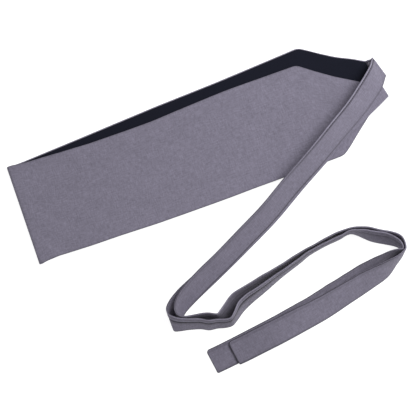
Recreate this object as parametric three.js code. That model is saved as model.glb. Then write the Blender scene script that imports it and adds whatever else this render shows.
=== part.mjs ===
// Obi belt laid out on a table: a wide panel folded in half, and a narrow tie let into each of its tips.
// Millimetres, +Z up. The belt lies on z = 0, and the origin is the middle of its box on the table.
import * as THREE from 'three';

// Cloth and stack heights. Each level is the height of a ply's middle where the panel lies flat.
const GAP = 0.3;
const TIE_WIDTH = 30;
const TIE_THICKNESS = 1.8;
const OUTER = { thickness: 1, backLevel: 0.5, frontLevel: 5.2 };
const LINING = { thickness: 1, backLevel: 1.8, frontLevel: 3.9 };
const LINING_INSET = 1;
const TIE_LAP = 8;

// Middle of the laid-out belt in the plan coordinates that the tables below use.
const PLAN_MIDDLE = { x: -2.7, y: 3.3 };

// The panel is folded across at its left end, and the fold reaches a little behind x and y. Each half has its
// own heading, in degrees from +X. The fold lies square to the front one, and the rulings swing over to the
// back one within a short way along the back half.
const FOLD = { x: -215.5, y: -5.2, reach: 1.3, lift: 1.6, steps: 8, swing: 30 };
const BACK_HEADING = 22.7;
const FRONT_HEADING = 19.5;

// Outline of each half in millimetres: along from the fold, and out from the middle line to either edge.
// The lift is how far the cloth stands up from its flat level behind the springy fold.
const BACK_OUTLINE = [
  { along: 6, above: 61.1, below: 60.6, lift: 0 },
  { along: 30, above: 60.3, below: 60.4, lift: 0 },
  { along: 90, above: 60.7, below: 61, lift: 0 },
  { along: 190, above: 61.8, below: 61.5, lift: 0 },
  { along: 270, above: 61.3, below: 61.5, lift: 0 },
  { along: 355, above: 62.3, below: 62, lift: 0 },
  { along: 377, above: 62.7, below: 62, lift: 0 },
  { along: 385, above: 57, below: 57.5, lift: 0 },
  { along: 400, above: 45.5, below: 45.5, lift: 0 },
  { along: 416, above: 34.3, below: 34.5, lift: 0 },
  { along: 433, above: 25, below: 24, lift: 0 },
  { along: 446, above: 16.5, below: 14.5, lift: 0 },
  { along: 454, above: 15, below: 14, lift: 0 },
];
const FRONT_OUTLINE = [
  { along: 6, above: 60.5, below: 62, lift: 1.5 },
  { along: 13, above: 59.4, below: 61, lift: 1.3 },
  { along: 22, above: 58.5, below: 60.4, lift: 0.9 },
  { along: 38, above: 58, below: 60.9, lift: 0.4 },
  { along: 65, above: 56.7, below: 61.6, lift: 0.1 },
  { along: 100, above: 55.3, below: 61.7, lift: 0 },
  { along: 145, above: 55.4, below: 62.6, lift: 0 },
  { along: 180, above: 56.1, below: 62.5, lift: 0 },
  { along: 216, above: 58.6, below: 62.2, lift: 0 },
  { along: 242, above: 60.2, below: 61.8, lift: 0 },
  { along: 270, above: 62, below: 60.9, lift: 0 },
  { along: 300, above: 62.5, below: 60.5, lift: 0 },
  { along: 364, above: 63, below: 59.4, lift: 0 },
  { along: 378, above: 52, below: 59, lift: 0 },
  { along: 381, above: 49.7, below: 58.6, lift: 0 },
  { along: 392, above: 41.8, below: 50.4, lift: 0 },
  { along: 404, above: 33.6, below: 40.3, lift: 0 },
  { along: 420, above: 24, below: 27.5, lift: 0 },
  { along: 430, above: 18, below: 19.5, lift: 0 },
  { along: 436, above: 14.5, below: 14.5, lift: 0 },
];

// A tie is a row of rulings across the strip. x, y and z place the ruling's foot, azimuth points in plan from
// the foot to the raised edge, and lean is the angle that the ruling stands up from the table, in degrees.
// A row with upTo turns the strip over about that ruling, from the height z up to that height. The upper side
// of such a fold leaves in the direction of the next row.
const BACK_TIE = [
  { x: 201, y: 155.6, z: 2.2, azimuth: 112, lean: 0 },
  { x: 213.5, y: 162.5, z: 2.2, azimuth: 126, lean: 4, upTo: 7.4, span: 27.8 },
  { x: 208.9, y: 148.8, z: 9.4, azimuth: 130, lean: 28 },
  { x: 199.8, y: 133.3, z: 11.4, azimuth: 138, lean: 33 },
  { x: 183, y: 110.7, z: 12.2, azimuth: 141, lean: 40 },
  { x: 162, y: 85.6, z: 13.5, azimuth: 142, lean: 43 },
  { x: 136.6, y: 54.9, z: 12.1, azimuth: 141, lean: 44.5 },
  { x: 106.3, y: 20.9, z: 7.7, azimuth: 139, lean: 45 },
  { x: 79.5, y: -11.7, z: 6, azimuth: 138, lean: 45 },
  { x: 52.4, y: -40.3, z: 5.7, azimuth: 137, lean: 45 },
  { x: 25.3, y: -68.7, z: 5.4, azimuth: 136, lean: 45 },
  { x: 3.9, y: -89.6, z: 4.8, azimuth: 134, lean: 45 },
  { x: -11.5, y: -105.9, z: 4.2, azimuth: 130, lean: 46 },
  { x: -24.5, y: -120.5, z: 3, azimuth: 124, lean: 52 },
  { x: -30, y: -131.5, z: 1, azimuth: 118, lean: 58 },
  { x: -28.5, y: -136, z: 0.5, azimuth: 116, lean: 66 },
  { x: -22.5, y: -136.8, z: 0.4, azimuth: 110, lean: 71 },
  { x: -13.7, y: -134.8, z: 0.3, azimuth: 104, lean: 73 },
  { x: 3.2, y: -134, z: 0.3, azimuth: 101, lean: 69 },
  { x: 14.2, y: -132.2, z: 0.3, azimuth: 106, lean: 75 },
  { x: 21.7, y: -132.1, z: 0.3, azimuth: 122, lean: 64 },
  { x: 30.3, y: -125.8, z: 0.3, azimuth: 130, lean: 57 },
  { x: 41.7, y: -112.6, z: 0.3, azimuth: 137, lean: 56 },
  { x: 56.7, y: -98, z: 0.3, azimuth: 136, lean: 66 },
  { x: 80, y: -79.3, z: 0.2, azimuth: 130, lean: 76 },
  { x: 92.7, y: -67.9, z: 0.2, azimuth: 128, lean: 82 },
  { x: 108.5, y: -55.9, z: 0.1, azimuth: 126, lean: 86 },
  { x: 122.7, y: -46.4, z: 0.1, azimuth: 124, lean: 88 },
  { x: 141.9, y: -35.4, z: 0.1, azimuth: 122, lean: 89 },
  { x: 160.3, y: -26.8, z: 0.1, azimuth: 117, lean: 90 },
  { x: 168.2, y: -24.6, z: 0.1, azimuth: 112, lean: 90 },
  { x: 176.1, y: -25, z: 0.1, azimuth: 106, lean: 87 },
  { x: 189.1, y: -28.2, z: 0.2, azimuth: 103, lean: 82 },
  { x: 205.8, y: -32.9, z: 0.2, azimuth: 104, lean: 80 },
  { x: 215.9, y: -35.2, z: 0.2, azimuth: 106, lean: 78 },
  { x: 223.5, y: -37.1, z: 0.2, azimuth: 108, lean: 79 },
  { x: 228.4, y: -39.9, z: 0.1, azimuth: 112, lean: 82 },
  { x: 230.8, y: -45, z: 0.1, azimuth: 116, lean: 86 },
  { x: 230.7, y: -49.8, z: 0.1, azimuth: 122, lean: 88 },
  { x: 228.4, y: -54.9, z: 0.1, azimuth: 126, lean: 85 },
  { x: 222.2, y: -63.7, z: 0.2, azimuth: 128, lean: 78 },
  { x: 212.4, y: -77.8, z: 0.4, azimuth: 122, lean: 60 },
  { x: 192.6, y: -92.7, z: 0.6, azimuth: 119, lean: 46.5 },
  { x: 165.4, y: -111, z: 0.8, azimuth: 120, lean: 38 },
  { x: 143.6, y: -125.7, z: 1.3, azimuth: 119, lean: 30 },
  { x: 121, y: -138.8, z: 2.1, azimuth: 118, lean: 22 },
  { x: 98.5, y: -151.3, z: 2.9, azimuth: 118, lean: 12 },
  { x: 75, y: -163.5, z: 3.1, azimuth: 118, lean: 5 },
  { x: 52.2, y: -175, z: 3.3, azimuth: 117.5, lean: 1 },
  { x: 38.1, y: -181.7, z: 4.4, azimuth: 117.5, lean: 0 },
];
const FRONT_TIE = [
  { x: 192.5, y: 125.1, z: 3.5, azimuth: 109.5, lean: 0 },
  { x: 201, y: 127.6, z: 3.5, azimuth: 111, lean: 0 },
  { x: 216.1, y: 137.2, z: 3.5, azimuth: 122, lean: 3, upTo: 7, span: 32 },
  { x: 206.1, y: 126.9, z: 7, azimuth: 128, lean: 6 },
  { x: 194, y: 115, z: 6.8, azimuth: 133, lean: 18 },
  { x: 175.4, y: 96, z: 6.6, azimuth: 138, lean: 33 },
  { x: 159.8, y: 78.8, z: 6.5, azimuth: 139, lean: 41 },
  { x: 144.9, y: 61.2, z: 6.8, azimuth: 139, lean: 42.5 },
  { x: 114.4, y: 26.7, z: 1.8, azimuth: 138, lean: 43.5 },
  { x: 82.6, y: -11.5, z: 0.7, azimuth: 138, lean: 43.5 },
  { x: 46, y: -49.6, z: 0.7, azimuth: 137, lean: 43.5 },
  { x: 17.6, y: -78, z: 0.7, azimuth: 135, lean: 43.5 },
  { x: -10.5, y: -105.2, z: 0.7, azimuth: 131, lean: 40 },
  { x: -21, y: -116.2, z: 0.7, azimuth: 127, lean: 38 },
  { x: -32.6, y: -130.3, z: 0.7, azimuth: 118, lean: 36 },
  { x: -38.8, y: -138.4, z: 0.6, azimuth: 111, lean: 41 },
  { x: -37.6, y: -142.1, z: 0.5, azimuth: 111, lean: 50 },
  { x: -31.4, y: -142, z: 0.4, azimuth: 111, lean: 61 },
  { x: -22.1, y: -140.5, z: 0.3, azimuth: 107, lean: 69 },
  { x: -6.8, y: -139.5, z: 0.3, azimuth: 104, lean: 72 },
  { x: 3, y: -140.7, z: 0.3, azimuth: 103, lean: 73 },
  { x: 12.1, y: -138.7, z: 0.3, azimuth: 103, lean: 75 },
  { x: 22.2, y: -137.8, z: 0.3, azimuth: 102, lean: 76 },
  { x: 29.8, y: -135.5, z: 0.3, azimuth: 110, lean: 77 },
  { x: 35.2, y: -129.4, z: 0.3, azimuth: 122, lean: 75 },
  { x: 42.6, y: -119.1, z: 0.3, azimuth: 128, lean: 70 },
  { x: 53.3, y: -108.5, z: 0.3, azimuth: 128, lean: 71 },
  { x: 67.6, y: -96.4, z: 0.2, azimuth: 128, lean: 76 },
  { x: 87.8, y: -78.6, z: 0.2, azimuth: 128, lean: 82 },
  { x: 109.1, y: -61.9, z: 0.1, azimuth: 126, lean: 85 },
  { x: 120, y: -52.8, z: 0.1, azimuth: 125, lean: 87 },
  { x: 138.7, y: -41.8, z: 0.1, azimuth: 124, lean: 89 },
  { x: 156.5, y: -33.4, z: 0.1, azimuth: 122, lean: 90 },
  { x: 164.2, y: -28.6, z: 0.1, azimuth: 118, lean: 90 },
  { x: 169.5, y: -27.2, z: 0.1, azimuth: 110, lean: 90 },
  { x: 176.2, y: -28.8, z: 0.1, azimuth: 106, lean: 86 },
  { x: 183.9, y: -32.3, z: 0.2, azimuth: 104, lean: 79 },
  { x: 192.6, y: -36.1, z: 0.3, azimuth: 105, lean: 74 },
  { x: 202.4, y: -38.4, z: 0.3, azimuth: 108, lean: 71 },
  { x: 212.2, y: -40.2, z: 0.3, azimuth: 109, lean: 71 },
  { x: 220.5, y: -42, z: 0.3, azimuth: 112, lean: 75 },
  { x: 226, y: -44.5, z: 0.2, azimuth: 114, lean: 79 },
  { x: 228.4, y: -47.8, z: 0.2, azimuth: 118, lean: 84 },
  { x: 228.1, y: -50.9, z: 0.2, azimuth: 122, lean: 86 },
  { x: 223.4, y: -55, z: 0.3, azimuth: 124, lean: 78 },
  { x: 213.3, y: -65.4, z: 0.5, azimuth: 124, lean: 63 },
  { x: 196.5, y: -78.1, z: 0.6, azimuth: 120, lean: 52 },
  { x: 171.1, y: -97.5, z: 0.7, azimuth: 120, lean: 40 },
  { x: 153.8, y: -111, z: 0.8, azimuth: 120, lean: 32 },
  { x: 135.9, y: -124.4, z: 0.8, azimuth: 119, lean: 23 },
  { x: 99.5, y: -147, z: 1, azimuth: 118, lean: 8 },
  { x: 62.2, y: -166.7, z: 1, azimuth: 118, lean: 1 },
  { x: 25.1, y: -185.6, z: 1, azimuth: 117, lean: 0 },
  { x: 12.7, y: -191.4, z: 1, azimuth: 118, lean: 0 },
];

// How full the cloth is across its width: a tie's folded edges are thinner, a panel's are cut square.
const TIE_SECTION = [
  { across: 0, fullness: 0.5 },
  { across: 0.03, fullness: 1 },
  { across: 0.35, fullness: 1 },
  { across: 0.68, fullness: 1 },
  { across: 0.97, fullness: 1 },
  { across: 1, fullness: 0.5 },
];
const PANEL_SECTION = [0, 0.2, 0.4, 0.6, 0.8, 1].map((across) => ({ across, fullness: 1 }));
const TIE_STEPS_PER_ROW = 3;
const TIE_FOLD_STEPS = 6;

function inPlan(degrees) {
  const angle = THREE.MathUtils.degToRad(degrees);
  return new THREE.Vector3(Math.cos(angle), Math.sin(angle), 0);
}

// Fills a grid of middle points with thickness on both sides and closes it into one solid.
function clothSolid(rulings, section, thickness) {
  const middle = rulings.map(({ foot, top }) => section.map(({ across }) => foot.clone().lerp(top, across)));
  const lastRow = middle.length - 1;
  const lastColumn = section.length - 1;
  const positions = [];
  const faces = [];
  const corner = (row, column, side) => (row * section.length + column) * 2 + side;
  const quad = (a, b, c, d) => faces.push(a, b, c, a, c, d);

  middle.forEach((points, row) => {
    const before = middle[Math.max(row - 1, 0)];
    const after = middle[Math.min(row + 1, lastRow)];
    const rulingWay = points[lastColumn].clone().sub(points[0]);
    points.forEach((point, column) => {
      const runWay = after[column].clone().sub(before[column]);
      const normal = runWay.cross(rulingWay).normalize();
      const half = (thickness / 2) * section[column].fullness;
      positions.push(...point.clone().addScaledVector(normal, -half).toArray());
      positions.push(...point.clone().addScaledVector(normal, half).toArray());
    });
  });
  for (let row = 0; row < lastRow; row += 1) {
    const next = row + 1;
    for (let column = 0; column < lastColumn; column += 1) {
      const beside = column + 1;
      quad(corner(row, column, 1), corner(next, column, 1), corner(next, beside, 1), corner(row, beside, 1));
      quad(corner(row, column, 0), corner(row, beside, 0), corner(next, beside, 0), corner(next, column, 0));
    }
    const end = lastColumn;
    quad(corner(row, 0, 0), corner(next, 0, 0), corner(next, 0, 1), corner(row, 0, 1));
    quad(corner(row, end, 1), corner(next, end, 1), corner(next, end, 0), corner(row, end, 0));
  }
  for (let column = 0; column < lastColumn; column += 1) {
    const beside = column + 1;
    const last = lastRow;
    quad(corner(0, column, 0), corner(0, column, 1), corner(0, beside, 1), corner(0, beside, 0));
    quad(corner(last, column, 1), corner(last, column, 0), corner(last, beside, 0), corner(last, beside, 1));
  }
  const geometry = new THREE.BufferGeometry();
  geometry.setAttribute('position', new THREE.Float32BufferAttribute(positions, 3));
  geometry.setIndex(faces);
  geometry.computeVertexNormals();
  return geometry;
}

// One ruling across the panel, at a distance along a half and at a height.
function panelRuling(heading, row, height, inset) {
  const middle = new THREE.Vector3(FOLD.x, FOLD.y, height).addScaledVector(inPlan(heading), row.along);
  const aside = inPlan(heading + 90);
  return {
    foot: middle.clone().addScaledVector(aside, -(row.below - inset)),
    top: middle.clone().addScaledVector(aside, row.above - inset),
  };
}

// The panel's ply from the back tip, round the fold and along the front half to the front tip.
function panelRulings(ply, inset, shortened) {
  const shorten = (outline) => {
    const end = outline.at(-1).along - shortened;
    const kept = outline.filter(({ along }) => along < end);
    return shortened > 0 ? [...kept, { ...outline[kept.length], along: end }] : outline;
  };
  const back = shorten(BACK_OUTLINE).toReversed().map((row) => {
    const swing = Math.max(0, 1 - row.along / FOLD.swing);
    const heading = THREE.MathUtils.lerp(BACK_HEADING, FRONT_HEADING, swing);
    return panelRuling(heading, row, ply.backLevel + row.lift, inset);
  });
  const front = shorten(FRONT_OUTLINE).map((row) => {
    return panelRuling(FRONT_HEADING, row, ply.frontLevel + row.lift, inset);
  });
  const outerRadius = (OUTER.frontLevel + FOLD.lift - OUTER.backLevel + OUTER.thickness) / 2;
  const radius = (ply.frontLevel + FOLD.lift - ply.backLevel) / 2;
  const fold = [];
  for (let step = 0; step <= FOLD.steps; step += 1) {
    const turn = Math.PI * (step / FOLD.steps - 0.5);
    const along = outerRadius - FOLD.reach - radius * Math.cos(turn);
    const height = ply.backLevel + radius * (1 + Math.sin(turn));
    fold.push(panelRuling(FRONT_HEADING, { ...FRONT_OUTLINE[0], along }, height, inset));
  }
  return [...back, ...fold, ...front];
}

// A tie's rulings: its rows, each fold row opened into a half turn, and a smooth curve along each edge.
function tieRulings(table) {
  const rows = table.flatMap((row, index) => {
    if (row.upTo === undefined) {
      return [row];
    }
    const radius = (row.upTo - row.z) / 2;
    const outward = inPlan(row.azimuth - 90);
    const along = inPlan(row.azimuth);
    const onward = new THREE.Vector3(table[index + 1].x - row.x, table[index + 1].y - row.y, 0);
    const skew = onward.dot(along) / onward.dot(outward);
    const turned = [];
    for (let step = 0; step <= TIE_FOLD_STEPS; step += 1) {
      const turn = Math.PI * (step / TIE_FOLD_STEPS - 0.5);
      const reach = radius * (Math.cos(turn) - 1);
      const slide = turn > 0 ? skew * reach : 0;
      const x = row.x + outward.x * reach + along.x * slide;
      const y = row.y + outward.y * reach + along.y * slide;
      const z = row.z + radius * (1 + Math.sin(turn));
      turned.push({ ...row, x, y, z, tight: true });
    }
    return turned;
  });
  const feet = rows.map(({ x, y, z }) => new THREE.Vector3(x, y, z));
  const tops = rows.map((row, index) => {
    const span = row.span ?? TIE_WIDTH;
    const lean = THREE.MathUtils.degToRad(row.lean);
    const top = feet[index].clone().addScaledVector(inPlan(row.azimuth), span * Math.cos(lean));
    top.z += span * Math.sin(lean);
    return top;
  });
  const footCurve = new THREE.CatmullRomCurve3(feet, false, 'centripetal');
  const topCurve = new THREE.CatmullRomCurve3(tops, false, 'centripetal');
  const rulings = [];
  for (let index = 0; index < rows.length - 1; index += 1) {
    const steps = rows[index].tight && rows[index + 1].tight ? 1 : TIE_STEPS_PER_ROW;
    for (let step = 0; step < steps; step += 1) {
      const way = (index + step / steps) / (rows.length - 1);
      rulings.push({ foot: footCurve.getPoint(way), top: topCurve.getPoint(way) });
    }
  }
  rulings.push({ foot: feet.at(-1), top: tops.at(-1) });
  return rulings;
}

const greyCloth = new THREE.MeshStandardMaterial({ color: '#7a7685', roughness: 0.92, metalness: 0 });
const navyLining = new THREE.MeshStandardMaterial({ color: '#1f202b', roughness: 0.85, metalness: 0 });
const tieCloth = new THREE.MeshStandardMaterial({ color: '#807c8c', roughness: 0.92, metalness: 0 });

function piece(name, geometry, material) {
  const mesh = new THREE.Mesh(geometry, material.clone());
  mesh.name = name;
  return mesh;
}

const outerCloth = clothSolid(panelRulings(OUTER, 0, 0), PANEL_SECTION, OUTER.thickness);
const liningRulings = panelRulings(LINING, LINING_INSET, TIE_LAP + GAP);
const liningCloth = clothSolid(liningRulings, PANEL_SECTION, LINING.thickness);
const backTie = clothSolid(tieRulings(BACK_TIE), TIE_SECTION, TIE_THICKNESS);
const frontTie = clothSolid(tieRulings(FRONT_TIE), TIE_SECTION, TIE_THICKNESS);

const belt = new THREE.Group();
belt.add(
  piece('outer_cloth', outerCloth, greyCloth),
  piece('lining_cloth', liningCloth, navyLining),
  piece('back_tie', backTie, tieCloth),
  piece('front_tie', frontTie, tieCloth),
);
belt.position.set(-PLAN_MIDDLE.x, -PLAN_MIDDLE.y, 0);

export default belt;
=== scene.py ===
# %% [markdown]
# # Obi belt, laid out folded
#
# The belt is a wide cloth panel that tapers at both tips, with a narrow tie let into each tip. Here the
# panel is folded in half, and both ties run down across it and then turn back and forth beside it.
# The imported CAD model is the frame: it gives the size and the place of every piece. The solids in it are
# plain, so each one is replaced by a cloth piece built along the same rulings, with rounded edges, seams,
# stitches and a woven finish.

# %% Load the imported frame
import math
from collections import namedtuple

import bpy
import numpy as np
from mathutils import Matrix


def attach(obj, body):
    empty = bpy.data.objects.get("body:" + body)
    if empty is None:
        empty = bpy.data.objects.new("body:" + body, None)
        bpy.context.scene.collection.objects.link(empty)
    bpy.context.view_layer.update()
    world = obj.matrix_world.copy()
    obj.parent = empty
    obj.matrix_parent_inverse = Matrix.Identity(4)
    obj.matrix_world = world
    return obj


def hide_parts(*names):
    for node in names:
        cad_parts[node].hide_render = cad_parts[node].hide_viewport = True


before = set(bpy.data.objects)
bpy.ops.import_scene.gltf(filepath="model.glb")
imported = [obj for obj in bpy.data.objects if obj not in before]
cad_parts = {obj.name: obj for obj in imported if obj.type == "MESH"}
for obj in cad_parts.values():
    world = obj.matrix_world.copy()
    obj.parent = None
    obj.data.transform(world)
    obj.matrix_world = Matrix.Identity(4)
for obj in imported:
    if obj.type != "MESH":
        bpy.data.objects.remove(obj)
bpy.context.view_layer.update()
print("nodes in the frame:", sorted(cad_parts))

# %% [markdown]
# ## Camera
#
# The belt is seen from almost straight above: the raised edges of the standing ties lean a little up the
# picture. A long lens two metres away keeps the panel free of perspective. Blender's camera looks straight
# down when it isn't turned at all, so its one turn is the tilt from the vertical.

# %% Place the camera
MM = 0.001
CAMERA_DISTANCE = 2.0
CAMERA_ELEVATION = math.radians(80)
CAMERA_TARGET = np.array([3.9, 0.3, 0.0]) * MM
LENS_MM = 146.7
SENSOR_MM = 36.0
SEES_AS_FAR_AS = 20.0

camera = bpy.data.objects.new("camera", bpy.data.cameras.new("camera"))
bpy.context.scene.collection.objects.link(camera)
camera.data.lens = LENS_MM
camera.data.sensor_width = SENSOR_MM
camera.data.clip_end = SEES_AS_FAR_AS
camera.location = CAMERA_TARGET + CAMERA_DISTANCE * np.array(
    [0.0, -math.cos(CAMERA_ELEVATION), math.sin(CAMERA_ELEVATION)]
)
camera.rotation_euler = (math.radians(90) - CAMERA_ELEVATION, 0.0, 0.0)
bpy.context.scene.camera = camera
print("camera at", [round(x, 3) for x in camera.location])

# %% [markdown]
# ## Table and light
#
# The belt lies on a white table in flat studio light. A bright even sky does most of the work, and one
# large soft panel at the upper right models the folds: it leaves the soft dark band beside the raised tie.
# The table glows slightly, as a light table does, so that the shadows on it stay faint. Its top is a fifth
# of a millimetre below the belt, so that no two faces lie in one plane.

# %% Make the table
def link(name, mesh):
    """A new object for a mesh, linked to the scene."""
    made = bpy.data.objects.new(name, mesh)
    bpy.context.scene.collection.objects.link(made)
    return made


TABLE_HALF = 4.0
TABLE_TOP = -0.2 * MM
TABLE_CORNERS = ((-1, -1), (1, -1), (1, 1), (-1, 1))
TABLE_GREY = (0.44, 0.44, 0.44, 1)
TABLE_ROUGHNESS = 0.9
TABLE_GLOW = 0.84
DULL_SPECULAR = 0.1
table_mesh = bpy.data.meshes.new("table")
table_spots = [(TABLE_HALF * x, TABLE_HALF * y, TABLE_TOP) for x, y in TABLE_CORNERS]
table_mesh.from_pydata(table_spots, [], [(0, 1, 2, 3)])
table = link("table", table_mesh)

table_white = bpy.data.materials.new("table white")
table_white.use_nodes = True
table_shader = table_white.node_tree.nodes["Principled BSDF"]
table_shader.inputs["Base Color"].default_value = TABLE_GREY
table_shader.inputs["Roughness"].default_value = TABLE_ROUGHNESS
table_shader.inputs["Specular IOR Level"].default_value = DULL_SPECULAR
table_shader.inputs["Emission Color"].default_value = (1, 1, 1, 1)
table_shader.inputs["Emission Strength"].default_value = TABLE_GLOW
table.data.materials.append(table_white)

# %% Light the studio
SKY_STRENGTH = 0.43
LAMP_PLACE = (0.6, 0.3, 1.08)
LAMP_SIZE = 0.7
LAMP_WATTS = 14.6

world = bpy.data.worlds.new("studio")
world.use_nodes = True
world.node_tree.nodes["Background"].inputs["Color"].default_value = (1, 1, 1, 1)
world.node_tree.nodes["Background"].inputs["Strength"].default_value = SKY_STRENGTH
bpy.context.scene.world = world

lamp = bpy.data.objects.new("soft_panel", bpy.data.lights.new("soft_panel", "AREA"))
bpy.context.scene.collection.objects.link(lamp)
lamp.data.shape = "SQUARE"
lamp.data.size = LAMP_SIZE
lamp.data.energy = LAMP_WATTS
lamp.location = LAMP_PLACE
lamp_tilt = math.atan2(math.hypot(LAMP_PLACE[0], LAMP_PLACE[1]), LAMP_PLACE[2])
lamp_turn = math.atan2(LAMP_PLACE[1], LAMP_PLACE[0]) + math.radians(90)
lamp.rotation_euler = (lamp_tilt, 0.0, lamp_turn)
bpy.context.scene.view_settings.view_transform = "Standard"
print("lamp", LAMP_WATTS, "W, sky", SKY_STRENGTH)

# %% [markdown]
# ## Rulings of the ties
#
# A strip of cloth bends along straight lines that run across it. So the whole shape of a tie is a row of
# such rulings. Each has a foot, x, y and z, on the table side, an azimuth that points in plan from the foot
# to the raised edge, and a lean, the angle that it stands up from the table. Where the tie is turned over
# flat, the row gives the height up to which it turns, and how much of the width the fold takes. The values
# are millimetres and degrees, and they are the ones that the solids of the frame are built from.


# %% Write down the rulings
PLAN_MIDDLE = np.array([-2.7, 3.3, 0.0])
TIE_WIDTH = 30.0
Ruling = namedtuple("Ruling", "x y z azimuth lean up_to span", defaults=(None, TIE_WIDTH))
BACK_TIE = [
    # let into the tip, and turned over
    Ruling(201, 155.6, 2.2, 112, 0),
    Ruling(213.5, 162.5, 2.2, 126, 4, 7.4, 27.8),
    Ruling(208.9, 148.8, 9.4, 130, 28),
    # the diagonal, down across the panel
    Ruling(199.8, 133.3, 11.4, 138, 33),
    Ruling(183, 110.7, 12.2, 141, 40),
    Ruling(162, 85.6, 13.5, 142, 43),
    Ruling(136.6, 54.9, 12.1, 141, 44.5),
    Ruling(106.3, 20.9, 7.7, 139, 45),
    Ruling(79.5, -11.7, 6, 138, 45),
    Ruling(52.4, -40.3, 5.7, 137, 45),
    Ruling(25.3, -68.7, 5.4, 136, 45),
    Ruling(3.9, -89.6, 4.8, 134, 45),
    Ruling(-11.5, -105.9, 4.2, 130, 46),
    # first turn, to the right
    Ruling(-24.5, -120.5, 3, 124, 52),
    Ruling(-30, -131.5, 1, 118, 58),
    Ruling(-28.5, -136, 0.5, 116, 66),
    Ruling(-22.5, -136.8, 0.4, 110, 71),
    # short run
    Ruling(-13.7, -134.8, 0.3, 104, 73),
    Ruling(3.2, -134, 0.3, 101, 69),
    Ruling(14.2, -132.2, 0.3, 106, 75),
    # bend into the middle run
    Ruling(21.7, -132.1, 0.3, 122, 64),
    Ruling(30.3, -125.8, 0.3, 130, 57),
    Ruling(41.7, -112.6, 0.3, 137, 56),
    Ruling(56.7, -98, 0.3, 136, 66),
    # middle run, on edge
    Ruling(80, -79.3, 0.2, 130, 76),
    Ruling(92.7, -67.9, 0.2, 128, 82),
    Ruling(108.5, -55.9, 0.1, 126, 86),
    Ruling(122.7, -46.4, 0.1, 124, 88),
    Ruling(141.9, -35.4, 0.1, 122, 89),
    # second turn, back to the left
    Ruling(160.3, -26.8, 0.1, 117, 90),
    Ruling(168.2, -24.6, 0.1, 112, 90),
    Ruling(176.1, -25, 0.1, 106, 87),
    Ruling(189.1, -28.2, 0.2, 103, 82),
    Ruling(205.8, -32.9, 0.2, 104, 80),
    Ruling(215.9, -35.2, 0.2, 106, 78),
    Ruling(223.5, -37.1, 0.2, 108, 79),
    Ruling(228.4, -39.9, 0.1, 112, 82),
    Ruling(230.8, -45, 0.1, 116, 86),
    Ruling(230.7, -49.8, 0.1, 122, 88),
    Ruling(228.4, -54.9, 0.1, 126, 85),
    Ruling(222.2, -63.7, 0.2, 128, 78),
    # last run, sinking flat
    Ruling(212.4, -77.8, 0.4, 122, 60),
    Ruling(192.6, -92.7, 0.6, 119, 46.5),
    Ruling(165.4, -111, 0.8, 120, 38),
    Ruling(143.6, -125.7, 1.3, 119, 30),
    Ruling(121, -138.8, 2.1, 118, 22),
    Ruling(98.5, -151.3, 2.9, 118, 12),
    Ruling(75, -163.5, 3.1, 118, 5),
    Ruling(52.2, -175, 3.3, 117.5, 1),
    Ruling(38.1, -181.7, 4.4, 117.5, 0),
]
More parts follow.
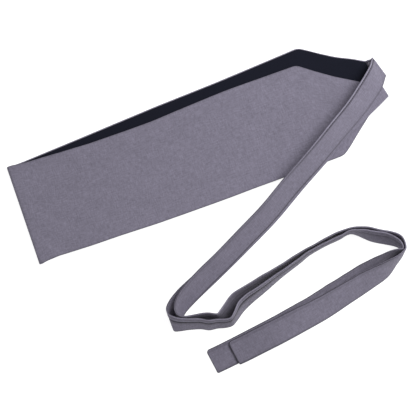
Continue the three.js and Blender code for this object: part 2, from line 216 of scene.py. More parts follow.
FRONT_TIE = [
    # let into the tip, and turned over
    Ruling(192.5, 125.1, 3.5, 109.5, 0),
    Ruling(201, 127.6, 3.5, 111, 0),
    Ruling(216.1, 137.2, 3.5, 122, 3, 7, 32),
    # the diagonal, under the other tie
    Ruling(206.1, 126.9, 7, 128, 6),
    Ruling(194, 115, 6.8, 133, 18),
    Ruling(175.4, 96, 6.6, 138, 33),
    Ruling(159.8, 78.8, 6.5, 139, 41),
    Ruling(144.9, 61.2, 6.8, 139, 42.5),
    Ruling(114.4, 26.7, 1.8, 138, 43.5),
    Ruling(82.6, -11.5, 0.7, 138, 43.5),
    Ruling(46, -49.6, 0.7, 137, 43.5),
    Ruling(17.6, -78, 0.7, 135, 43.5),
    Ruling(-10.5, -105.2, 0.7, 131, 40),
    # first turn, to the right
    Ruling(-21, -116.2, 0.7, 127, 38),
    Ruling(-32.6, -130.3, 0.7, 118, 36),
    Ruling(-38.8, -138.4, 0.6, 111, 41),
    Ruling(-37.6, -142.1, 0.5, 111, 50),
    Ruling(-31.4, -142, 0.4, 111, 61),
    # short run
    Ruling(-22.1, -140.5, 0.3, 107, 69),
    Ruling(-6.8, -139.5, 0.3, 104, 72),
    Ruling(3, -140.7, 0.3, 103, 73),
    Ruling(12.1, -138.7, 0.3, 103, 75),
    Ruling(22.2, -137.8, 0.3, 102, 76),
    # bend into the middle run
    Ruling(29.8, -135.5, 0.3, 110, 77),
    Ruling(35.2, -129.4, 0.3, 122, 75),
    Ruling(42.6, -119.1, 0.3, 128, 70),
    Ruling(53.3, -108.5, 0.3, 128, 71),
    Ruling(67.6, -96.4, 0.2, 128, 76),
    # middle run, on edge
    Ruling(87.8, -78.6, 0.2, 128, 82),
    Ruling(109.1, -61.9, 0.1, 126, 85),
    Ruling(120, -52.8, 0.1, 125, 87),
    Ruling(138.7, -41.8, 0.1, 124, 89),
    Ruling(156.5, -33.4, 0.1, 122, 90),
    # second turn, back to the left
    Ruling(164.2, -28.6, 0.1, 118, 90),
    Ruling(169.5, -27.2, 0.1, 110, 90),
    Ruling(176.2, -28.8, 0.1, 106, 86),
    Ruling(183.9, -32.3, 0.2, 104, 79),
    Ruling(192.6, -36.1, 0.3, 105, 74),
    Ruling(202.4, -38.4, 0.3, 108, 71),
    Ruling(212.2, -40.2, 0.3, 109, 71),
    Ruling(220.5, -42, 0.3, 112, 75),
    Ruling(226, -44.5, 0.2, 114, 79),
    Ruling(228.4, -47.8, 0.2, 118, 84),
    Ruling(228.1, -50.9, 0.2, 122, 86),
    Ruling(223.4, -55, 0.3, 124, 78),
    # last run, sinking flat
    Ruling(213.3, -65.4, 0.5, 124, 63),
    Ruling(196.5, -78.1, 0.6, 120, 52),
    Ruling(171.1, -97.5, 0.7, 120, 40),
    Ruling(153.8, -111, 0.8, 120, 32),
    Ruling(135.9, -124.4, 0.8, 119, 23),
    Ruling(99.5, -147, 1, 118, 8),
    Ruling(62.2, -166.7, 1, 118, 1),
    Ruling(25.1, -185.6, 1, 117, 0),
    Ruling(12.7, -191.4, 1, 118, 0),
]
print(len(BACK_TIE), "rows for the back tie,", len(FRONT_TIE), "for the front tie")

# %% [markdown]
# ## Curves through the rulings
#
# The rows are far apart where a tie runs straight and close where it bends. A Catmull-Rom curve passes
# through every point it is given, so the numbers in the table stay true. Its centripetal kind is used,
# because it makes no loops where short steps follow long ones. A Blender curve object could carry the
# points too, but a mesh built by hand keeps the two edges of the cloth in step with each other.

# %% Draw a smooth curve through points
def knot(a, b):
    return np.linalg.norm(b - a, axis=1, keepdims=True) ** 0.5


def smooth_through(points, places):
    """Points on a curve through the given ones. A place of 2.5 is halfway from the third to the fourth."""
    ends = np.vstack([2 * points[0] - points[1], points, 2 * points[-1] - points[-2]])
    cell = np.minimum(places.astype(int), len(points) - 2)
    t = (places - cell)[:, None]
    before, start, end, after = (ends[cell + k] for k in range(4))
    d0, d1, d2 = knot(before, start), knot(start, end), knot(end, after)
    out = ((start - before) / d0 - (end - before) / (d0 + d1) + (end - start) / d1) * d1
    home = ((end - start) / d1 - (after - start) / (d1 + d2) + (after - end) / d2) * d1
    bend = 3 * (end - start) - 2 * out - home
    twist = 2 * (start - end) + out + home
    return start + out * t + bend * t**2 + twist * t**3


# %% Share out the steps
END_STEPS = np.array([0.0, 0.12, 0.3, 0.6])


def even_places(knots, step):
    """Places from the first knot to the last, each gap cut into equal steps, and closer at both ends."""
    gaps = [np.linspace(a, b, math.ceil((b - a) / step), endpoint=False) for a, b in zip(knots, knots[1:])]
    places = np.concatenate(gaps + [knots[-1:]])
    first = places[0] + END_STEPS * (places[1] - places[0])
    last = places[-1] - END_STEPS[::-1] * (places[-1] - places[-2])
    return np.concatenate([first, places[1:-1], last])


def run_length(points):
    """Distance along a row of points, from the first."""
    return np.concatenate([[0.0], np.cumsum(np.linalg.norm(np.diff(points, axis=0), axis=1))])


# %% Turn a tie's rows into rulings
FOLD_STEPS = 6
TIE_STEP = 1.8


def in_plan(degrees):
    angle = math.radians(degrees)
    return np.array([math.cos(angle), math.sin(angle), 0.0])


def turned_over(row, after):
    """Slide along the ruling, reach beyond it and height, for each step of a half turn about a row."""
    onward = np.array([after.x - row.x, after.y - row.y, 0])
    skew = (onward @ in_plan(row.azimuth)) / (onward @ in_plan(row.azimuth - 90))
    radius = (row.up_to - row.z) / 2
    for step in range(FOLD_STEPS + 1):
        turn = math.pi * (step / FOLD_STEPS - 0.5)
        reach = radius * (math.cos(turn) - 1)
        yield (skew * reach if turn > 0 else 0.0), reach, row.z + radius * (1 + math.sin(turn))


def tie_rulings(rows):
    """Feet and tops of a tie's rulings, and how far along the tie each one is, in millimetres."""
    feet, tops = [], []
    for row, after in zip(rows, rows[1:] + rows[-1:]):
        lean = math.radians(row.lean)
        ruling = row.span * (math.cos(lean) * in_plan(row.azimuth) + np.array([0, 0, math.sin(lean)]))
        for slide, reach, height in turned_over(row, after) if row.up_to else [(0, 0, row.z)]:
            foot = np.array([row.x, row.y, height])
            foot += slide * in_plan(row.azimuth) + reach * in_plan(row.azimuth - 90)
            feet.append(foot)
            tops.append(foot + ruling)
    feet, tops = np.array(feet), np.array(tops)
    knots = run_length((feet + tops) / 2)
    along = even_places(knots, TIE_STEP)
    places = np.interp(along, knots, np.arange(len(knots)))
    feet, tops = smooth_through(feet, places), smooth_through(tops, places)
    return feet - PLAN_MIDDLE, tops - PLAN_MIDDLE, run_length((feet + tops) / 2)


back_feet, back_tops, back_along = tie_rulings(BACK_TIE)
front_feet, front_tops, front_along = tie_rulings(FRONT_TIE)
print("tie lengths", round(back_along[-1]), "and", round(front_along[-1]), "mm")

# %% [markdown]
# ## The cut through a tie
#
# A real tie is one strip of cloth folded lengthwise into layers. Its foot edge is a plain fold. The raised
# edge is stitched through 2.5 mm in. Near the tip the thread gathers the cloth, with a deep groove and a
# round bead along the edge, and further on the edge is pressed, so there are two cuts. On the lap face the
# last layer ends in a fold of its own, which shows as a dark line about a quarter of the way down from the
# raised edge. A cut is one closed outline: out along the lap face and home along the plain face. Across and
# proud are millimetres from the foot and from the middle of the cloth. The shade is painted shade where
# shade falls: in the groove, under the lap fold, along the foot edge and on the rounded raised edge.
# Below 0 it is a painted highlight on the bead and on edges that face the light. The material darkens
# and lightens the colour by it.

# %% Write down the cut through a tie
Point = namedtuple("Point", "across proud shade", defaults=(0.0,))
# The third number of each point is painted shade, and below 0 a painted highlight.
TIE_FOOT_EDGE = [
    Point(0, 0, 0.7),
    Point(0.12, 0.42, 0.7),
    Point(0.45, 0.7, 0.65),
    Point(1.1, 0.84, 0.45),
    Point(2.6, 0.88, 0.05),
    Point(6, 0.9),
    Point(10, 0.9),
]
TIE_LAP_SEAM = [
    Point(13, 0.9),
    Point(16, 0.89, 0.1),
    Point(19, 0.82, 0.35),
    Point(21, 0.68, 0.85),
    Point(21.8, 0.42, 1),
    Point(22.1, 0.75, 1),
    Point(22.4, 1.1, 0.6),
    Point(23, 1.15, -0.1),
    Point(24.2, 1.04, -0.05),
    Point(25.2, 0.96),
    Point(26, 0.9, 0.05),
]
TIE_PLAIN_FACE = [Point(14, 0.9), Point(18, 0.9), Point(22, 0.9), Point(25, 0.9)]
TIE_PUCKERED_EDGE = [
    Point(26.6, 0.78, 0.6),
    Point(27.5, 0.36, 1.25),
    Point(28.1, 0.7, 1.1),
    Point(28.4, 0.95, -0.2),
    Point(29, 0.92, -0.6),
    Point(29.5, 0.72, -0.4),
    Point(29.9, 0.32, 0.3),
    Point(30, 0, 0.6),
]
TIE_PRESSED_LAP_EDGE = [
    Point(26.6, 0.84, 0.2),
    Point(27.5, 0.8, 0.2),
    Point(28.1, 0.86),
    Point(28.4, 0.88, -0.1),
    Point(29, 0.84, -0.25),
    Point(29.5, 0.68, -0.4),
    Point(29.9, 0.34, -0.35),
    Point(30, 0, 0.1),
]
TIE_PRESSED_PLAIN_EDGE = [
    Point(26.6, 0.84, 0.2),
    Point(27.5, 0.78, 0.25),
    Point(28.1, 0.84, 0.05),
    Point(28.4, 0.86),
    Point(29, 0.82, 0.25),
    Point(29.5, 0.66, 0.8),
    Point(29.9, 0.32, 1.1),
    Point(30, 0, 0.3),
]
TIE_GROOVE = 27.5


def tie_cut(lap_edge, plain_edge):
    """One closed cut: across, proud and shade of each point, out along one face and home along the other."""
    out = TIE_FOOT_EDGE + TIE_LAP_SEAM + lap_edge
    home = (TIE_FOOT_EDGE + TIE_PLAIN_FACE + plain_edge)[-2:0:-1]
    return np.array([tuple(p) for p in out] + [(p.across, -p.proud, p.shade) for p in home])


PUCKERED_CUT = tie_cut(TIE_PUCKERED_EDGE, TIE_PUCKERED_EDGE)
PRESSED_CUT = tie_cut(TIE_PRESSED_LAP_EDGE, TIE_PRESSED_PLAIN_EDGE)
print(len(PUCKERED_CUT), "points round a tie")

# %% [markdown]
# ## Cloth that has settled
#
# Pressed cloth on a table is never dead flat. A few long, low waves and some soft creases, in everything
# that is lifted off the table, give the light something to play on. Small sways make the high edges wander
# on the runs beside the panel; the diagonal lies straight, and x - y tells the two sides apart. All of
# these depend only on the place, so plies that lie on each other move together. What would sink into the
# table is pressed flat on it. A cloth simulation would also do this, but the folds have to stay where they
# are in the photograph.

# %% Add low waves and soft creases
Wave = namedtuple("Wave", "length heading height phase")
WAVES = [
    Wave(132, 18, 0.16, 0.4),
    Wave(87, 109, 0.12, 1.9),
    Wave(53, 64, 0.07, 3.1),
    Wave(34, 151, 0.045, 0.8),
    Wave(23, 93, 0.025, 2.2),
]
Crease = namedtuple("Crease", "x y heading length width height")
CREASES = [
    Crease(122, 156, 22, 26, 5, 0.5),
    Crease(-185, -47, -40, 22, 5, 0.5),
    Crease(91.5, 20, 60, 10, 3, 0.5),
]
FULL_FROM = 4.0
Sway = namedtuple("Sway", "length heading push phase")
SWAYS = [
    Sway(47, 35, 0.16, 0.6),
    Sway(31, 80, 0.13, 2.5),
    Sway(19, 10, 0.12, 4.1),
]
SWAYS_FULLY_FROM = 14.0
SWAY_TURN = 70
STRAIGHT_SIDE = 100.0
WAVY_SIDE = 125.0


def settle(points):
    """The points, in millimetres, lifted by waves and creases, pushed by sways and kept off the table."""
    lift = np.zeros(points.shape[:-1])
    for wave in WAVES:
        lift += wave.height * np.sin(2 * np.pi * (points @ in_plan(wave.heading)) / wave.length + wave.phase)
    for crease in CREASES:
        place = points - np.array([crease.x, crease.y, 0])
        way = place @ in_plan(crease.heading) / crease.length
        aside = place @ in_plan(crease.heading + 90) / crease.width
        lift += crease.height * np.exp(-(way**2) - aside**2)
    moved = points.copy()
    moved[..., 2] += lift * np.clip(points[..., 2] / FULL_FROM, 0, 1)
    share = np.clip(points[..., 2:] / SWAYS_FULLY_FROM, 0, 1)
    beyond = (points[..., :1] - points[..., 1:2] - STRAIGHT_SIDE) / (WAVY_SIDE - STRAIGHT_SIDE)
    share = share * np.clip(beyond, 0, 1)
    for sway in SWAYS:
        push = np.sin(2 * np.pi * (points @ in_plan(sway.heading)) / sway.length + sway.phase)
        moved += share * sway.push * push[..., None] * in_plan(sway.heading + SWAY_TURN)
    moved[..., 2] = np.maximum(moved[..., 2], 0)
    return moved


print("waves lift the cloth by up to", round(sum(w.height for w in WAVES), 2), "mm")

# %% [markdown]
# ## From a cut to a cloth piece
#
# The cut is carried along the rulings, and each copy is joined to the next with a band of faces. At both
# ends the cut gets thinner and its corners draw in, as a turned-in end does. The corners of every face are
# listed in the order that makes it face outward. Two UV maps go with the mesh:
# cloth holds the place on the cloth in metres, so that the weave is as fine on a tie as on the panel, and
# the second map holds the painted shade and painted highlight. A Solidify modifier on a flat strip would be
# shorter to write, but it can't make the stitched groove or the round edges.

# %% Carry a cut along the rulings
END_THINNING = 0.55
THIN_REACH = 0.9


def distance_to_end(along):
    return np.minimum(along, along[-1] - along)[:, None]


def rounded(corner, to_end):
    """How far a rounded corner of this radius draws the edge in."""
    into = np.clip(corner - to_end, 0, corner)
    return corner - np.sqrt(corner**2 - into**2)


def wrap(feet, tops, along, across, proud, foot_corner, top_corner):
    """Surface points in millimetres: a row for each ruling, a column for each point of the cut."""
    width = np.linalg.norm(tops - feet, axis=1)[:, None]
    to_end = distance_to_end(along)
    foot_inset = rounded(foot_corner, to_end) / width
    top_inset = rounded(top_corner, to_end) / width
    part = foot_inset + across / across.max(axis=-1, keepdims=True) * (1 - foot_inset - top_inset)
    middle = feet[:, None] + (tops - feet)[:, None] * part[..., None]
    normal = np.cross(np.gradient(middle, axis=0), (tops - feet)[:, None])
    normal /= np.linalg.norm(normal, axis=2, keepdims=True)
    fullness = 1 - END_THINNING * np.clip(1 - to_end / THIN_REACH, 0, 1) ** 2
    return settle(middle + normal * (proud * fullness)[..., None])


# %% Make one closed mesh
FACE_CORNERS = ((0, 0), (1, 0), (1, 1), (0, 1))


def around_and_home(points):
    """Places round the cut in millimetres, with the first point again at the end."""
    steps = np.linalg.norm(np.diff(points, axis=1, append=points[:, :1]), axis=2)
    return np.concatenate([[0.0], np.cumsum(steps.mean(axis=0))])


def cloth_mesh(name, points, along, shade):
    """A closed mesh from rows of surface points in millimetres, with UV maps of place and painted shade."""
    rows, columns = points.shape[:2]
    row, column = np.meshgrid(np.arange(rows - 1), np.arange(columns), indexing="ij")
    row, column = row.ravel(), column.ravel()
    loop = np.stack([np.stack([row + down, column + on]) for down, on in FACE_CORNERS], axis=-1)
    quads = loop[0] * columns + loop[1] % columns
    caps = [list(range(columns)), [(rows - 1) * columns + c for c in reversed(range(columns))]]
    mesh = bpy.data.meshes.new(name)
    mesh.from_pydata((points.reshape(-1, 3) * MM).tolist(), [], quads.tolist() + caps)
    cap = np.concatenate([np.divmod(c, columns) for c in caps], axis=1)
    corner_row = np.concatenate([loop[0].ravel(), cap[0]])
    corner_column = np.concatenate([loop[1].ravel(), cap[1]])
    around = around_and_home(points) * MM
    cloth = np.stack([along[corner_row] * MM, around[corner_column]], axis=1)
    # The second UV map carries each point's painted shade and painted highlight.
    painted_light_level = np.broadcast_to(shade, (rows, columns))[corner_row, corner_column % columns]
    painted_light = np.stack([0.5 - 0.5 * painted_light_level, np.full(len(corner_row), 0.5)], axis=1)
    mesh.uv_layers.new(name="cloth").data.foreach_set("uv", cloth.ravel())
    mesh.uv_layers.new(name="painted_light").data.foreach_set("uv", painted_light.ravel())
    mesh.shade_smooth()
    return mesh


# %% [markdown]
# ## Gathering and painted shade along the ties
#
# Gathering and pressing differ along a tie, and so does the light that falls on it. Each table pairs a
# place, in millimetres from the tip, with a value, and in between the value changes evenly. Puckered says
# how much of the gathered cut is left. The last stretch is made a little darker. The lap face and plain
# face values scale the painted shade of their side's seams and edges, foot scales the painted shade of the
# foot edge, and deep adds painted shade to the lap face where little light gets in between the ties.

# %% Make the two ties
FOOT_CORNER = 1.6
TOP_CORNER = 4.2
FOOT_WIDTH = 3.0
END_SHADE = 0.5
END_SHADE_REACH = 1.4
DEEP_WIDTH = 40.0
DEEPEST_SHADE = 1.3
PUCKERED = [(0, 1), (120, 1), (200, 0.25), (600, 0)]
# The last stretch of each tie is made a little darker.
DARKER_TOWARDS_END = [(0, 0), (860, 0), (925, 0.2)]
PLAIN_FACE = [(0, 1), (600, 1), (640, 0.1), (715, 0.1), (745, 1)]
# Painted shade along each tie: for its seams, edges and foot, and between the ties.
PaintedShadeAlong = namedtuple("PaintedShadeAlong", "lap_face plain_face foot deep")
BACK_PAINTED_SHADE = PaintedShadeAlong(
    lap_face=[(0, 1), (410, 1), (450, 0.2), (640, 0.2), (660, 0.5)],
    plain_face=PLAIN_FACE,
    foot=[(0, 0.8), (110, 0.9), (180, 1.7), (340, 1.7), (400, 1)],
    deep=[(0, 0), (405, 0), (440, 0.75), (480, 0.9), (600, 0.9), (640, 0.1), (700, 0)],
)
FRONT_PAINTED_SHADE = PaintedShadeAlong(
    lap_face=[(0, 1), (400, 1), (420, 1.5), (470, 1.6), (500, 2.3), (610, 2.3), (650, 0.5)],
    plain_face=PLAIN_FACE,
    foot=[(0, -0.1), (360, -0.1), (400, 1), (700, 1), (740, 0.8)],
    deep=[(0, 0)],
)


def along_table(along, table):
    """A column of values, read for each ruling from pairs of place along the tie and value."""
    return np.interp(along, *np.array(table, dtype=float).T)[:, None]


def tie_skin(feet, tops, along, painted_shade):
    """Surface points and painted shade of a tie that goes from puckered to pressed."""
    puckered = along_table(along, PUCKERED)
    across, proud, shade = (puckered * a + (1 - puckered) * b for a, b in zip(PUCKERED_CUT.T, PRESSED_CUT.T))
    on_lap_face = proud >= 0
    # Painted shade and highlight of the cut, scaled along the tie; the ends are made darker.
    shows = np.where(on_lap_face, along_table(along, painted_shade.lap_face), along_table(along, painted_shade.plain_face))
    shade = np.where(shade > 0, shade * shows, shade)
    shade = np.where(across < FOOT_WIDTH, shade * along_table(along, painted_shade.foot), shade)
    shade = shade + along_table(along, DARKER_TOWARDS_END)
    shade = shade + END_SHADE * np.clip(1 - distance_to_end(along) / END_SHADE_REACH, 0, 1)
    shade = shade + on_lap_face * along_table(along, painted_shade.deep) * (1 - across / DEEP_WIDTH)
    return wrap(feet, tops, along, across, proud, FOOT_CORNER, TOP_CORNER), np.minimum(shade, DEEPEST_SHADE)


back_skin, back_shade = tie_skin(back_feet, back_tops, back_along, BACK_PAINTED_SHADE)
front_skin, front_shade = tie_skin(front_feet, front_tops, front_along, FRONT_PAINTED_SHADE)
back_tie = link("back_tie_cloth", cloth_mesh("back_tie_cloth", back_skin, back_along, back_shade))
front_tie = link("front_tie_cloth", cloth_mesh("front_tie_cloth", front_skin, front_along, front_shade))
print("faces in a tie:", len(back_tie.data.polygons))

# %% [markdown]
# ## Rulings of the panel
#
# The panel is one length of cloth, folded across at its left end and laid back on itself a little askew.
# Each half has a heading from the fold and an outline: how far along from the fold, and how far out from
# the middle line to either edge. The lift is how far the cloth stands up from its flat level behind the
# springy fold. The grey cloth and the navy lining share these rows; only their levels differ.

# %% Write down the panel
FOLD_PLACE = np.array([-215.5, -5.2, 0.0]) - PLAN_MIDDLE
FOLD_REACH = 1.3
FOLD_LIFT = 1.6
BACK_HEADING = 22.7
FRONT_HEADING = 19.5
SWING = 30.0
PLY = 1.0
Levels = namedtuple("Levels", "back front")
OUTER = Levels(0.5, 5.2)
LINING = Levels(1.8, 3.9)
Edges = namedtuple("Edges", "along above below lift", defaults=(0.0,))
BACK_OUTLINE = [
    Edges(6, 61.1, 60.6),
    Edges(30, 60.3, 60.4),
    Edges(90, 60.7, 61),
    Edges(190, 61.8, 61.5),
    Edges(270, 61.3, 61.5),
    Edges(355, 62.3, 62),
    Edges(377, 62.7, 62),
    Edges(385, 57, 57.5),
    Edges(400, 45.5, 45.5),
    Edges(416, 34.3, 34.5),
    Edges(433, 25, 24),
    Edges(446, 16.5, 14.5),
    Edges(454, 15, 14),
]
FRONT_OUTLINE = [
    Edges(6, 60.5, 62, 1.5),
    Edges(13, 59.4, 61, 1.3),
    Edges(22, 58.5, 60.4, 0.9),
    Edges(38, 58, 60.9, 0.4),
    Edges(65, 56.7, 61.6, 0.1),
    Edges(100, 55.3, 61.7),
    Edges(145, 55.4, 62.6),
    Edges(180, 56.1, 62.5),
    Edges(216, 58.6, 62.2),
    Edges(242, 60.2, 61.8),
    Edges(270, 62, 60.9),
    Edges(300, 62.5, 60.5),
    Edges(364, 63, 59.4),
    Edges(378, 52, 59),
    Edges(381, 49.7, 58.6),
    Edges(392, 41.8, 50.4),
    Edges(404, 33.6, 40.3),
    Edges(420, 24, 27.5),
    Edges(430, 18, 19.5),
    Edges(436, 14.5, 14.5),
]

# %% Lay the panel's rulings
PANEL_STEP = 3.0
PANEL_FOLD_STEPS = 16
OUT_AND_HEIGHT = [1, 4]


def soften(rows):
    """The rows with their corners eased, as sewing and pressing ease them."""
    eased = rows.copy()
    eased[1:-1] = 0.25 * rows[:-2] + 0.5 * rows[1:-1] + 0.25 * rows[2:]
    return eased


def panel_rulings(levels, shortened, inset):
    """Feet, tops and places along the panel, from the back tip round the fold to the front tip."""
    widest_radius = (OUTER.front + FOLD_LIFT - OUTER.back + PLY) / 2
    radius = (levels.front + FOLD_LIFT - levels.back) / 2
    at_fold = FRONT_OUTLINE[0]
    rows = []
    for edges in reversed(BACK_OUTLINE):
        swing = max(0.0, 1 - edges.along / SWING)
        heading = BACK_HEADING + swing * (FRONT_HEADING - BACK_HEADING)
        rows.append((heading, edges.along, edges.above, edges.below, levels.back + edges.lift))
    for part in np.linspace(0, 1, PANEL_FOLD_STEPS + 1):
        turn = math.pi * (part - 0.5)
        out = widest_radius - FOLD_REACH - radius * math.cos(turn)
        height = levels.back + radius * (1 + math.sin(turn))
        rows.append((FRONT_HEADING, out, at_fold.above, at_fold.below, height))
    rows += [(FRONT_HEADING, e.along, e.above, e.below, levels.front + e.lift) for e in FRONT_OUTLINE]
    rows = np.array(rows)
    knots = run_length(rows[:, OUT_AND_HEIGHT])
    ends = [shortened, knots[-1] - shortened]
    kept = knots[(knots > ends[0]) & (knots < ends[1])]
    along = even_places(np.concatenate([ends[:1], kept, ends[1:]]), PANEL_STEP)
    rows = soften(soften(np.stack([np.interp(along, knots, column) for column in rows.T], axis=1)))
    feet, tops = [], []
    for heading, out, above, below, height in rows:
        middle = FOLD_PLACE + out * in_plan(heading) + np.array([0, 0, height])
        feet.append(middle - (below - inset) * in_plan(heading + 90))
        tops.append(middle + (above - inset) * in_plan(heading + 90))
    return np.array(feet), np.array(tops), along - along[0]


LINING_INSET = 1.7
TIE_LAP = 8.3
outer_feet, outer_tops, outer_along = panel_rulings(OUTER, 0.0, 0.0)
lining_feet, lining_tops, lining_along = panel_rulings(LINING, TIE_LAP, LINING_INSET)
print("panel length", round(outer_along[-1]), "mm, lining", round(lining_along[-1]), "mm")

# %% [markdown]
# ## Edges of the panel
#
# The grey cloth is cut larger than the lining and turned in over its edge, so a rim of grey about 1.5 mm
# wide frames the navy on the inside. The turned-in allowance makes the outside very slightly fuller within
# a centimetre of the edge. Points of the cut are counted inwards from the edge, the same on both edges, and
# the width between is shared out evenly. Near the tips the rim fades, because the ties lie there.

# %% Cut the panel's plies
Hem = namedtuple("Hem", "inward proud shade", defaults=(0.0,))
# The third number of each hem point is painted: painted shade along the outside edge and where the grey rim
# meets the lining, and a painted highlight on the rim itself.
OUTSIDE_HEM = [
    Hem(0, 0, 0.7),
    Hem(0.1, 0.3, 0.6),
    Hem(0.35, 0.46, 0.45),
    Hem(0.9, 0.53, 0.15),
    Hem(2.5, 0.56),
    Hem(6, 0.56),
    Hem(9, 0.55),
    Hem(10.5, 0.5),
]
RIM_HEM = [
    Hem(0, 0, -0.5),
    Hem(0.04, 0.8, -0.5),
    Hem(0.2, 1.35, -0.5),
    Hem(0.55, 1.66, -0.45),
    Hem(0.95, 1.7, -0.4),
    Hem(1.3, 1.5, 0),
    Hem(1.46, 1.1, 0.7),
    Hem(1.5, 0.7, 1),
    Hem(1.9, 0.5, 1),
    Hem(4, 0.5, 0.3),
]
LINING_HEM = [Hem(0, 0), Hem(0.1, 0.3), Hem(0.35, 0.45), Hem(0.9, 0.5), Hem(3, 0.5)]
WIDTH_COLUMNS = 33
RIM_FADE = (9.0, 22.0)
TIP_CORNER = 1.2


def face_across(hem, width):
    """Across, proud and shade of one face, a row for each ruling."""
    inward, proud, shade = np.array(hem).T
    middle = inward[-1] + np.linspace(0, 1, WIDTH_COLUMNS)[1:-1] * (width[:, None] - 2 * inward[-1])
    across = np.hstack([np.tile(inward, (len(width), 1)), middle, width[:, None] - inward[::-1]])
    plain = np.full(WIDTH_COLUMNS - 2, proud[-1])
    whole_proud = np.concatenate([proud, plain, proud[::-1]])
    whole_shade = np.concatenate([shade, plain * 0, shade[::-1]])
    return across, whole_proud, whole_shade


def ply_skin(feet, tops, along, plus_hem, minus_hem):
    """Surface points and painted shade of a ply whose faces have these hems."""
    width = np.linalg.norm(tops - feet, axis=1)
    plus, plus_proud, plus_shade = face_across(plus_hem, width)
    minus, minus_proud, minus_shade = face_across(minus_hem, width)
    to_end = distance_to_end(along)
    rim = np.clip((to_end - RIM_FADE[0]) / (RIM_FADE[1] - RIM_FADE[0]), 0, 1)
    minus_proud = np.minimum(minus_proud, PLY / 2) + np.maximum(minus_proud - PLY / 2, 0) * rim
    across = np.hstack([plus, minus[:, -2:0:-1]])
    proud = np.hstack([np.tile(plus_proud, (len(width), 1)), -minus_proud[:, -2:0:-1]])
    shade = np.concatenate([plus_shade, minus_shade[-2:0:-1]])
    return wrap(feet, tops, along, across, proud, TIP_CORNER, TIP_CORNER), shade


outer_skin, outer_shade = ply_skin(outer_feet, outer_tops, outer_along, OUTSIDE_HEM, RIM_HEM)
lining_skin, lining_shade = ply_skin(lining_feet, lining_tops, lining_along, LINING_HEM, LINING_HEM)
outer = link("panel_cloth", cloth_mesh("panel_cloth", outer_skin, outer_along, outer_shade))
lining = link("panel_lining", cloth_mesh("panel_lining", lining_skin, lining_along, lining_shade))
print("faces in the outer cloth:", len(outer.data.polygons), "and in the lining:", len(lining.data.polygons))

# %% [markdown]
# ## Stitches
#
# The ties are closed by one row of stitching along the raised edge, through all layers, so it shows on both
# faces. Each stitch is a short piece of thread that rises out of one needle hole and dives into the next.
# Modelled one by one they catch the light as the real ones do, and a dotted texture wouldn't. They lie in
# the groove of the cut, so their places are read from the columns of the finished skins. One more row holds
# each tie in its tip of the panel. A stitch that would go below the table is pushed up into its cloth.

# %% Sew along a line
STITCH_PITCH = 3.0
STITCH_LENGTH = 2.3
THREAD_RADIUS = 0.2
Ring = namedtuple("Ring", "way rise girth")
STITCH_RINGS = [
    Ring(-0.5, -0.22, 0.6),
    Ring(-0.36, 0.02, 0.95),
    Ring(0, 0.1, 1),
    Ring(0.36, 0.02, 0.95),
    Ring(0.5, -0.22, 0.6),
]
THREAD_SIDES = 6


def sew(line, outward, start=3.0, end=3.0):
    """Vertices and faces of stitches along a line, in millimetres; outward is away from the cloth."""
    reach = run_length(line)
    count = int((reach[-1] - start - end) / STITCH_PITCH)
    centres = start + STITCH_PITCH * (np.arange(count) + 0.5)
    turn = 2 * np.pi * np.arange(THREAD_SIDES) / THREAD_SIDES
    rings = []
    for ring in STITCH_RINGS:
        at = centres + ring.way * STITCH_LENGTH
        spot = np.stack([np.interp(at, reach, c) for c in line.T], axis=1)
        up = np.stack([np.interp(at, reach, c) for c in outward.T], axis=1)
        up /= np.linalg.norm(up, axis=1, keepdims=True)
        run = np.stack([np.interp(at + 0.5, reach, c) for c in line.T], axis=1) - spot
        side = np.cross(run, up)
        side /= np.linalg.norm(side, axis=1, keepdims=True)
        circle = np.cos(turn)[:, None] * up[:, None] + np.sin(turn)[:, None] * side[:, None]
        rings.append((spot + ring.rise * up)[:, None] + THREAD_RADIUS * ring.girth * circle)
    stitches = np.stack(rings, axis=1)
    stitches[..., 2] += np.maximum(-stitches[..., 2].min(axis=(1, 2), keepdims=True), 0)
    vertices = stitches.reshape(-1, 3)
    faces = []
    for base in range(0, len(vertices), len(STITCH_RINGS) * THREAD_SIDES):
        for step in range(len(STITCH_RINGS) - 1):
            here = base + step * THREAD_SIDES
            ahead = here + THREAD_SIDES
            for spoke in range(THREAD_SIDES):
                beside = (spoke + 1) % THREAD_SIDES
                faces.append((here + spoke, here + beside, ahead + beside, ahead + spoke))
        last = base + (len(STITCH_RINGS) - 1) * THREAD_SIDES
        faces.append(tuple(base + spoke for spoke in reversed(range(THREAD_SIDES))))
        faces.append(tuple(last + spoke for spoke in range(THREAD_SIDES)))
    return vertices, faces


def thread_mesh(name, rows):
    """One mesh from several sewn rows."""
    vertices, faces, first = [], [], 0
    for row_vertices, row_faces in rows:
        vertices.append(row_vertices)
        faces += [tuple(first + v for v in face) for face in row_faces]
        first += len(row_vertices)
    mesh = bpy.data.meshes.new(name)
    mesh.from_pydata((np.vstack(vertices) * MM).tolist(), [], faces)
    mesh.shade_smooth()
    return mesh


# %% Stitch the ties
def groove_rows(skin):
    """The stitched groove on both faces of a tie: each a line and its outward directions."""
    rows = []
    for column in np.nonzero(np.isclose(PRESSED_CUT[:, 0], TIE_GROOVE))[0]:
        across = skin[:, column + 1] - skin[:, column - 1]
        outward = np.cross(across, np.gradient(skin[:, column], axis=0))
        rows.append(sew(skin[:, column], -outward))
    return rows


back_thread = link("back_tie_stitches", thread_mesh("back_tie_stitches", groove_rows(back_skin)))
front_thread = link("front_tie_stitches", thread_mesh("front_tie_stitches", groove_rows(front_skin)))
print("vertices of thread on the back tie:", len(back_thread.data.vertices))

# %% Stitch the tips
TIP_SEAM = 4.0
SEAM_LIFT = 0.03


